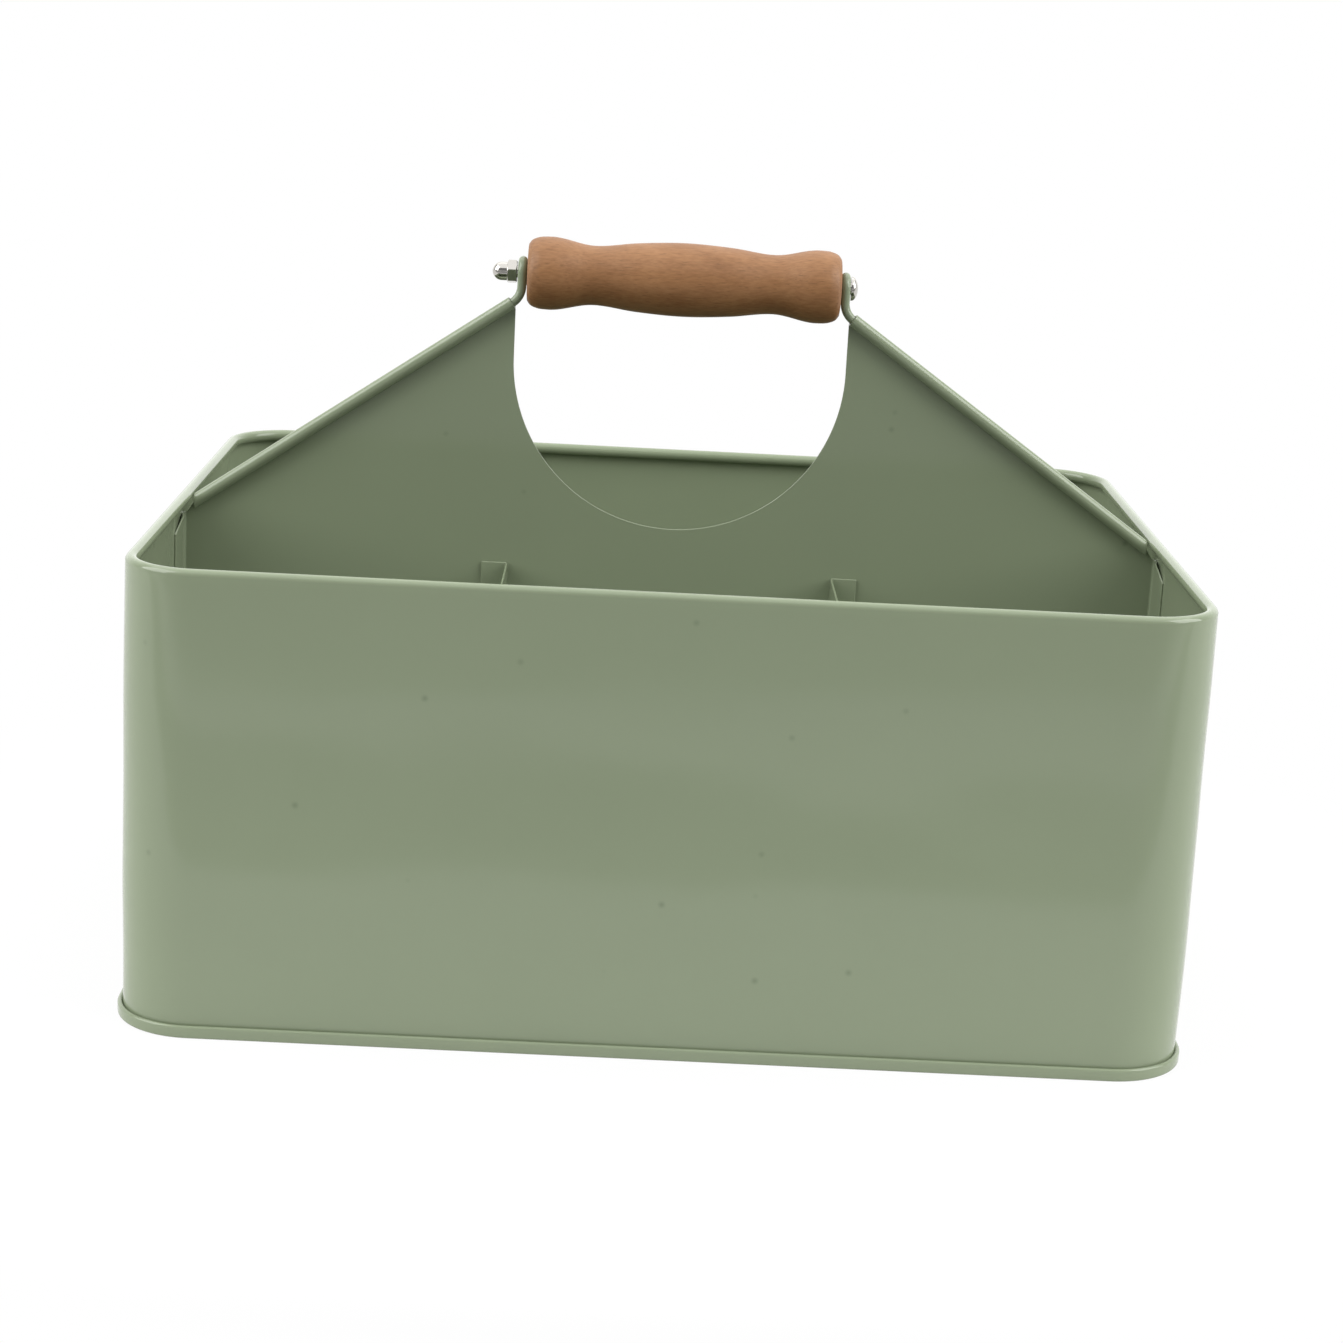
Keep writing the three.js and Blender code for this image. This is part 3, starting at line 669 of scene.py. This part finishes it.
class CADDY_OT_body_wall(bpy.types.Operator):
    """Makes the wall with its rolled rim and its seam hook"""
    bl_idname = "caddy.body_wall"
    bl_label = "Body wall"

    def execute(self, context):
        body = context.scene.caddy_body
        wall_line = -SHEET / 2
        hook_line = 2 * SEAM_GAP + SHEET + SHEET / 2
        hook_foot = SHEET + SEAM_GAP + SHEET / 2
        hook_radius = (hook_line - wall_line) / 2
        roll = body.rim_roll / 2
        hook_top = Vector((hook_line, body.seam_height - SHEET / 2 - hook_radius))
        top = Vector((wall_line, body.height - roll))
        corners = [hook_top, Vector((hook_line, hook_foot)), Vector((wall_line, hook_foot)), top]
        hook = bent_line(corners, hook_radius, BEND_STEPS)
        rim = arc(top, Vector((-roll, body.height - roll)), body.rim_turn, CURL_STEPS)
        outline = sheet_outline(hook[:-1] + divided(hook[-2], top, WALL_ROWS) + rim, SHEET)
        profile = [(p.x, -p.y, 0) for p in outline]
        loop = [(i, (i + 1) % len(profile)) for i in range(len(profile))]
        wall = mesh_object("caddy_wall", profile, loop, [])
        paint = finish_named("sage_powder_coat")
        run_tree(wall, rolled_wall_tree(), {
            "Length": body.length,
            "Depth": body.depth,
            "Height": body.height,
            "Corner Radius": body.corner_radius,
            "Wave Height": body.wave_height,
            "Wave Length": body.wave_length,
            "Material": paint,
        })
        smooth(wall)
        fasten(wall, "caddy", "sage_paint", paint, "body_wall")
        return {"FINISHED"}


class CADDY_OT_base_pan(bpy.types.Operator):
    """Makes the recessed floor and the fold of the double seam"""
    bl_idname = "caddy.base_pan"
    bl_label = "Base pan"

    def execute(self, context):
        body = context.scene.caddy_body
        cover_line = SEAM_GAP + SHEET / 2
        seam_line = SEAM_REACH - SHEET / 2
        chuck_line = -SHEET - SEAM_GAP - SHEET / 2
        fold = (seam_line - cover_line) / 2
        cover_drop = 3 * fold
        floor = body.floor_rise + SHEET / 2
        top = body.seam_height - SHEET / 2
        corners = [
            Vector((chuck_line - body.corner_radius / 2, floor)),
            Vector((chuck_line, floor)),
            Vector((chuck_line, SHEET / 2)),
            Vector((seam_line, SHEET / 2)),
            Vector((seam_line, top)),
            Vector((cover_line, top)),
            Vector((cover_line, top - cover_drop)),
        ]
        outline = sheet_outline(bent_line(corners, fold, BEND_STEPS), SHEET)
        base = loft("caddy_base", [body_ring(body, p.x, p.y, CORNER_STEPS) for p in outline])
        smooth(base)
        fasten(base, "caddy", "sage_paint", finish_named("sage_powder_coat"), "base_pan")
        return {"FINISHED"}


class CADDY_OT_centre_panel(bpy.types.Operator):
    """Makes the gabled panel with its flanges, hand opening and curled hems"""
    bl_idname = "caddy.centre_panel"
    bl_label = "Centre panel"

    def execute(self, context):
        right = self.hem(context.scene) + self.flange(context.scene)
        left = [mirrored(face) for face in right]
        faces = [self.gable(context.scene)] + right + left
        panel = folded_sheet("caddy_centre_panel", faces, SHEET)
        fasten(panel, "caddy", "sage_paint", finish_named("sage_powder_coat"), "centre_panel")
        return {"FINISHED"}

    def shoulder(self, scene):
        return scene.caddy_body.height - scene.caddy_body.rim_roll - scene.caddy_panel.shoulder_drop

    def flange_line(self, panel):
        """The right-hand flange's middle along X, pulled towards the end wall by its spot welds."""
        return PANEL_HIGH.x - SHEET / 2 + panel.flange_pull

    def gable(self, scene):
        """The flat of the panel between its bends, as one outline."""
        panel = scene.caddy_panel
        foot, head, along = hem_axis(scene)
        bend = self.flange_line(panel) - panel.bend_radius
        half = eye_line(scene) + panel.eye_to_opening
        notch = head - Vector((along.y, -along.x)) * (head.x - half) / along.y
        side = Vector((half, panel.opening_bottom + half))
        corners = [Vector((bend, PANEL_LOW.z)), Vector((bend, self.shoulder(scene))), foot, head, notch]
        half_arc = arc(side, Vector((0, side.y)), -math.pi / 2, OPENING_STEPS)
        right = [Vector((p.x, 0, p.y)) for p in corners + half_arc]
        return right + mirrored(right[:-1])[::-1]

    def hem(self, scene):
        """Strips of the right-hand hem, from the flat round its rod, cut upright at the foot."""
        panel = scene.caddy_panel
        foot, head, along = hem_axis(scene)
        upward = Vector((along.y, 0, -along.x))
        curl = arc(Vector((0, 0)), Vector((rod_line(panel), 0)), panel.hem_turn, CURL_STEPS)
        low = [Vector((foot.x, p.x, foot.y - p.y / along.x)) for p in curl]
        high = [Vector((head.x, 0, head.y)) + ALONG_Y * p.x + upward * p.y for p in curl]
        return [[low[i], high[i], high[i + 1], low[i + 1]] for i in range(len(curl) - 1)]

    def flange(self, scene):
        """The right-hand bend, in strips, and the flange with its clipped corner."""
        panel = scene.caddy_panel
        line = self.flange_line(panel)
        radius = panel.bend_radius
        low, high = PANEL_LOW.z, self.shoulder(scene)
        bend = arc(Vector((line - radius, 0)), Vector((line - radius, -radius)), -math.pi / 2, BEND_STEPS)
        strips = []
        for a, b in zip(bend, bend[1:]):
            strips.append([Vector((a.x, a.y, low)), Vector((b.x, b.y, low)),
                           Vector((b.x, b.y, high)), Vector((a.x, a.y, high))])
        tip = -panel.flange_width
        clip = Vector((line, tip, high - panel.clip_height))
        fold = Vector((line, tip + panel.fold_width, high))
        lifted = Vector((line - panel.corner_lift, tip + panel.clip_width, high))
        strips.append([Vector((line, -radius, low)), Vector((line, tip, low)), clip, fold,
                       Vector((line, -radius, high))])
        strips.append([clip, lifted, fold])
        return strips


class CADDY_OT_hem_rods(bpy.types.Operator):
    """Makes the two rods with their bent eyes"""
    bl_idname = "caddy.hem_rods"
    bl_label = "Hem rods"

    def execute(self, context):
        scene = context.scene
        panel = scene.caddy_panel
        foot, head, along = hem_axis(scene)
        start = foot + along * panel.rod_diameter / 2
        run = panel.eye_to_hem / -along.x
        corner = head + along * run
        bend_radius = run / math.tan(math.acos(along.y) / 2)
        upright = bent_line([start, corner, Vector((corner.x, GRIP_AXIS.z))], bend_radius, ROD_BEND_STEPS)
        line = rod_line(panel)
        eye = arc(Vector((line, GRIP_AXIS.z)), GRIP_AXIS.yz, -panel.eye_turn, EYE_STEPS)
        path = [Vector((p.x, line, p.y)) for p in upright[:-1]]
        path += [Vector((corner.x, p.x, p.y)) for p in eye]
        edges = [(i, i + 1) for i in range(len(path) - 1)]
        paint = finish_named("sage_powder_coat")
        tree = round_bar_tree()
        for side, points in (("right", path), ("left", mirrored(path))):
            rod = mesh_object(f"caddy_{side}_hem_rod", points, edges, [])
            run_tree(rod, tree, {"Radius": panel.rod_diameter / 2, "Material": paint})
            soften_edges(rod, ROD_EDGE, degrees=60)
            fasten(rod, "caddy", "sage_paint", paint, f"{side}_hem_rod")
        return {"FINISHED"}


class CADDY_OT_dividers(bpy.types.Operator):
    """Makes the two cross dividers with their flanges"""
    bl_idname = "caddy.dividers"
    bl_label = "Dividers"

    def execute(self, context):
        panel = context.scene.caddy_panel
        sheet = panel.divider_sheet
        sheet_x = DIVIDER_LOW.x + sheet / 2
        tip_x = sheet_x + panel.divider_flange
        back, front = DIVIDER_HIGH.y - sheet / 2, DIVIDER_LOW.y + sheet / 2
        corners = [(tip_x, back), (sheet_x, back), (sheet_x, front), (tip_x, front)]
        plan = bent_line([Vector(corner) for corner in corners], panel.bend_radius, BEND_STEPS)
        low = [Vector((p.x, p.y, DIVIDER_LOW.z)) for p in plan]
        high = [Vector((p.x, p.y, DIVIDER_HIGH.z)) for p in plan]
        strips = [[low[i], low[i + 1], high[i + 1], high[i]] for i in range(len(plan) - 1)]
        for side, faces in (("right", strips), ("left", [mirrored(strip) for strip in strips])):
            divider = folded_sheet(f"caddy_{side}_divider", faces, sheet)
            fasten(divider, "caddy", "sage_paint", finish_named("sage_powder_coat"), f"{side}_divider")
        return {"FINISHED"}


class CADDY_OT_wood_grip(bpy.types.Operator):
    """Turns the wood grip"""
    bl_idname = "caddy.wood_grip"
    bl_label = "Wood grip"

    def execute(self, context):
        grip = context.scene.caddy_grip
        half = grip.length / 2
        stations = [
            (half, grip.face),
            (half - grip.edge_inset, grip.edge),
            (half - grip.crown_inset, grip.crown),
            (half - grip.bulge_inset, grip.bulge),
            (half - grip.neck_inset, grip.neck),
            (half - grip.shoulder_inset, grip.shoulder),
        ]
        right = [Vector((along, diameter / 2)) for along, diameter in stations]
        left = [Vector((-p.x, p.y)) for p in right]
        outside = spline(left + [Vector((0, grip.belly / 2))] + right[::-1], GRIP_STEPS)
        bore = grip.bore / 2
        profile = [(-half, bore)] + [(p.x, p.y) for p in outside] + [(half, bore)]
        piece = loft("caddy_wood_grip", turned_rings(profile, TURNED_SIDES), looped=True)
        smooth(piece, degrees=40)
        fasten(piece, "grip", "turned_wood", finish_named("oiled_rubberwood"), "wood_grip")
        return {"FINISHED"}


class CADDY_OT_fasteners(bpy.types.Operator):
    """Makes the bolt with its domed head and the domed nut"""
    bl_idname = "caddy.fasteners"
    bl_label = "Bolt and nut"

    def execute(self, context):
        nickel = finish_named("nickel_plate")
        for piece, node in ((self.bolt(context.scene), "grip_bolt"), (self.nut(context.scene), "acorn_nut")):
            fasten(piece, "caddy", "nickel_plate", nickel, node)
        return {"FINISHED"}

    def bolt(self, scene):
        """Shank and domed head, with a cross recess sunk in the head."""
        grip = scene.caddy_grip
        seat = BOLT_HIGH.x - grip.head_height
        head = (BOLT_HIGH.z - BOLT_LOW.z) / 2
        dome = grip.head_height - grip.head_edge
        profile = [(BOLT_LOW.x, grip.bolt / 2), (seat, grip.bolt / 2), (seat, head)]
        profile += dome_profile(seat + grip.head_edge, dome, head)
        piece = loft("caddy_grip_bolt", turned_rings(profile, BOLT_SIDES))
        self.sink_recess(piece, grip)
        smooth(piece)
        return piece

    def sink_recess(self, piece, grip):
        """Cuts a cross into the bolt head, its arms tapering towards the bottom."""
        floor, top = BOLT_HIGH.x - grip.recess_depth, BOLT_HIGH.x + grip.recess_depth
        for turn in (math.pi / 4, 3 * math.pi / 4):
            rings = []
            for along, reach in ((floor, grip.recess_slot), (top, grip.recess)):
                corners = [(-reach, -grip.recess_slot), (reach, -grip.recess_slot),
                           (reach, grip.recess_slot), (-reach, grip.recess_slot)]
                arm = [Matrix.Rotation(turn, 2) @ Vector(corner) / 2 for corner in corners]
                rings.append([Vector((along, GRIP_AXIS.y + p.x, GRIP_AXIS.z + p.y)) for p in arm])
            cutter = loft("recess_cutter", rings)
            cut = piece.modifiers.new("recess", "BOOLEAN")
            cut.operation = "DIFFERENCE"
            cut.object = cutter
            settle(piece)
            face_outwards(piece)
            bpy.data.objects.remove(cutter)

    def nut(self, scene):
        """Chamfered hexagon and dome, bored from the seat."""
        grip = scene.caddy_grip
        seat = NUT_HIGH.x
        flat = grip.nut_flats / 2
        dome = grip.nut_dome / 2
        tip = NUT_HIGH.x - NUT_LOW.x
        bore = grip.bore / 2
        chamfer_share = 0.95
        chamfer_step = 0.1 * MM
        chamfer_rings = 6
        chamfer = chamfer_share * flat

        def hexagon(limit):
            def reach(turn):
                sector = (turn - grip.nut_turn + math.pi / 6) % (math.pi / 3) - math.pi / 6
                return min(flat / math.cos(sector), limit)
            return reach

        steps = [chamfer_step * k for k in range(chamfer_rings)]
        cone = [hexagon(chamfer + math.sqrt(3) * step) for step in steps]
        front = seat - grip.nut_hex
        profile = [(seat - grip.nut_bore, bore), (seat, bore)]
        profile += [(seat - step, reach) for step, reach in zip(steps, cone)]
        profile += [(front + step, reach) for step, reach in zip(steps[::-1], cone[::-1])]
        profile.append((front, dome))
        profile += dome_profile(seat - tip + dome, -dome, dome)
        piece = loft("caddy_acorn_nut", turned_rings(profile, TURNED_SIDES))
        smooth(piece, degrees=25)
        return piece


class CADDY_OT_stage(bpy.types.Operator):
    """Sets the floor, the light and the camera"""
    bl_idname = "caddy.stage"
    bl_label = "Stage"

    def execute(self, context):
        context.scene.view_settings.view_transform = "Standard"
        self.floor(context.scene)
        self.world(context.scene)
        stage = context.scene.caddy_stage
        self.soft_box("left_soft_box", mirrored([stage.side_lamp])[0], stage.side_size, stage.left_light)
        self.soft_box("right_soft_box", stage.side_lamp, stage.side_size, stage.right_light)
        self.soft_box("top_soft_box", stage.top_lamp, stage.top_size, stage.top_light)
        self.camera(context.scene)
        return {"FINISHED"}

    def floor(self, scene):
        """A wide pale sweep that ends in front of the caddy, and a card beyond it for the walls to mirror."""
        reach = 200.0
        blur = 20 * MM
        card_share = 0.4
        gap_sheen = 0.08
        veil = 0.93
        corners = [(-reach, -reach, 0), (reach, -reach, 0), (reach, reach, 0), (-reach, reach, 0)]
        floor = mesh_object("studio_floor", corners, [], [(0, 1, 2, 3)])
        stage, finish = scene.caddy_stage, scene.caddy_finish
        material, tree, shader, spot = new_material("studio_sweep")
        shader.inputs["Roughness"].default_value = 0.9

        # Pale up to the apron's edge, dark beyond it, and paler again on the card
        part = add_node(tree, "ShaderNodeSeparateXYZ", {"Vector": spot}, "Y")
        front = add_node(tree, "ShaderNodeMath", {0: part, 1: -1.0}, operation="MULTIPLY")
        edges = []
        for edge in (stage.apron, stage.card_near, stage.card_far):
            span = {"Value": front, "From Min": edge, "From Max": edge + blur}
            edges.append(add_node(tree, "ShaderNodeMapRange", span))
        past, near_edge, far_edge = edges
        card = add_node(tree, "ShaderNodeMath", {0: near_edge, 1: far_edge}, operation="SUBTRACT")
        dark = add_node(tree, "ShaderNodeMath", {0: card, 1: -card_share, 2: past}, operation="MULTIPLY_ADD")
        tones = {"Factor": dark, COLOUR_A: (*finish.floor, 1), COLOUR_B: (*finish.floor_edge, 1)}
        tone = add_node(tree, "ShaderNodeMix", tones, MIXED_COLOUR, data_type="RGBA")
        tree.links.new(tone, shader.inputs["Base Color"])

        # White to the camera and, where the floor is pale, in mirrors
        ray = add_node(tree, "ShaderNodeLightPath").node.outputs
        pale = add_node(tree, "ShaderNodeMapRange", {"Value": dark, "To Min": 1.0, "To Max": gap_sheen})
        sheen = add_node(tree, "ShaderNodeMath", {0: ray["Is Glossy Ray"], 1: pale}, operation="MULTIPLY")
        seen = add_node(tree, "ShaderNodeMath", {0: ray["Is Camera Ray"], 1: sheen}, operation="MAXIMUM")
        views = {0: seen, 1: ray["Is Transmission Ray"]}
        shown = add_node(tree, "ShaderNodeMath", views, operation="MAXIMUM")

        # A veil near the caddy lets its shadow show through the white
        away = add_node(tree, "ShaderNodeVectorMath", {0: spot}, "Value", operation="LENGTH")
        fade = {"Value": away, "From Min": stage.shadow_reach, "From Max": stage.white_reach, "To Min": veil}
        cover = add_node(tree, "ShaderNodeMapRange", fade)
        lift = add_node(tree, "ShaderNodeMath", {0: shown, 1: cover}, operation="MULTIPLY")
        white = add_node(tree, "ShaderNodeEmission", {"Strength": 1.0})
        mixed = add_node(tree, "ShaderNodeMixShader", {0: lift, 1: shader.outputs[0], 2: white})
        tree.links.new(mixed, tree.nodes["Material Output"].inputs["Surface"])
        floor.data.materials.append(material)

    def world(self, scene):
        """Bright behind the caddy and dim in front, white to the camera and, at the horizon, in mirrors."""
        stage = scene.caddy_stage
        dim_until = -0.05
        horizon_low = 0.02
        horizon_high = 0.2
        world = bpy.data.worlds.new("studio")
        world.use_nodes = True
        tree = world.node_tree
        way = add_node(tree, "ShaderNodeTexCoord", output="Generated")
        part = add_node(tree, "ShaderNodeSeparateXYZ", {"Vector": way}).node.outputs
        levels = {"Value": part["Y"], "From Min": dim_until,
                  "To Min": stage.front_light, "To Max": stage.back_light}
        level = add_node(tree, "ShaderNodeMapRange", levels, interpolation_type="SMOOTHSTEP")
        heights = {"Value": part["Z"], "From Min": horizon_low, "From Max": horizon_high,
                   "To Min": 1.0, "To Max": 0.0}
        horizon = add_node(tree, "ShaderNodeMapRange", heights)
        ray = add_node(tree, "ShaderNodeLightPath").node.outputs
        mirrors = {0: ray["Is Glossy Ray"], 1: ray["Is Transmission Ray"]}
        sheen = add_node(tree, "ShaderNodeMath", mirrors, operation="MAXIMUM")
        band = add_node(tree, "ShaderNodeMath", {0: horizon, 1: sheen}, operation="MULTIPLY")
        white = add_node(tree, "ShaderNodeMath", {0: ray["Is Camera Ray"], 1: band}, operation="MAXIMUM")
        bright = add_node(tree, "ShaderNodeMath", {0: level, 1: white}, operation="MAXIMUM")
        tree.links.new(bright, tree.nodes["Background"].inputs["Strength"])
        tree.nodes["Background"].inputs["Color"].default_value = (1, 1, 1, 1)
        scene.world = world

    def soft_box(self, name, spot, size, watts):
        """A large lamp aimed at the middle of the caddy."""
        lamp = bpy.data.lights.new(name, "AREA")
        lamp.shape = "SQUARE"
        lamp.size = size
        lamp.energy = watts
        box = bpy.data.objects.new(name, lamp)
        box.location = spot
        aim = Vector((0, 0, WALL_HIGH.z)) - box.location
        box.rotation_euler = aim.to_track_quat("-Z", "Y").to_euler()
        bpy.context.scene.collection.objects.link(box)

    def camera(self, scene):
        """The photograph's view: heading, tilt and roll about a camera that looks to the back."""
        stage = scene.caddy_stage
        lens = bpy.data.cameras.new("photo_view")
        lens.lens = stage.lens
        lens.sensor_width = stage.film
        lens.clip_start = 0.01
        camera = bpy.data.objects.new("photo_view", lens)
        turn = Matrix.Rotation(-stage.heading, 4, "Z") @ Matrix.Rotation(math.pi / 2 - stage.tilt, 4, "X")
        camera.matrix_world = Matrix.Translation(stage.camera) @ turn @ Matrix.Rotation(stage.roll, 4, "Z")
        scene.collection.objects.link(camera)
        scene.camera = camera


class CADDY_PT_pieces(bpy.types.Panel):
    """Lists the caddy's sizes and pieces"""
    bl_label = "Seed caddy"
    bl_space_type = "VIEW_3D"
    bl_region_type = "UI"
    bl_category = "Caddy"

    def draw(self, context):
        for name in GROUPS:
            group = getattr(context.scene, name)
            box = self.layout.box()
            for key in group.bl_rna.properties.keys():
                if key not in ("rna_type", "name"):
                    box.prop(group, key)
        for maker in MAKERS:
            self.layout.operator(maker.bl_idname)


GROUPS = {
    "caddy_body": CaddyBody,
    "caddy_panel": CaddyPanel,
    "caddy_grip": CaddyGrip,
    "caddy_finish": CaddyFinish,
    "caddy_stage": CaddyStage,
}
MAKERS = (
    CADDY_OT_body_wall,
    CADDY_OT_base_pan,
    CADDY_OT_centre_panel,
    CADDY_OT_hem_rods,
    CADDY_OT_dividers,
    CADDY_OT_wood_grip,
    CADDY_OT_fasteners,
    CADDY_OT_stage,
)


def register():
    for cls in (*GROUPS.values(), *MAKERS, CADDY_PT_pieces):
        bpy.utils.register_class(cls)
    for name, group in GROUPS.items():
        setattr(bpy.types.Scene, name, PointerProperty(type=group))


def unregister():
    for name in GROUPS:
        delattr(bpy.types.Scene, name)
    for cls in (CADDY_PT_pieces, *reversed(MAKERS), *reversed(list(GROUPS.values()))):
        bpy.utils.unregister_class(cls)


def main():
    register()
    bpy.ops.caddy.body_wall()
    bpy.ops.caddy.base_pan()
    bpy.ops.caddy.centre_panel()
    bpy.ops.caddy.hem_rods()
    bpy.ops.caddy.dividers()
    bpy.ops.caddy.wood_grip()
    bpy.ops.caddy.fasteners()
    bpy.ops.caddy.stage()


if __name__ == "__main__":
    main()
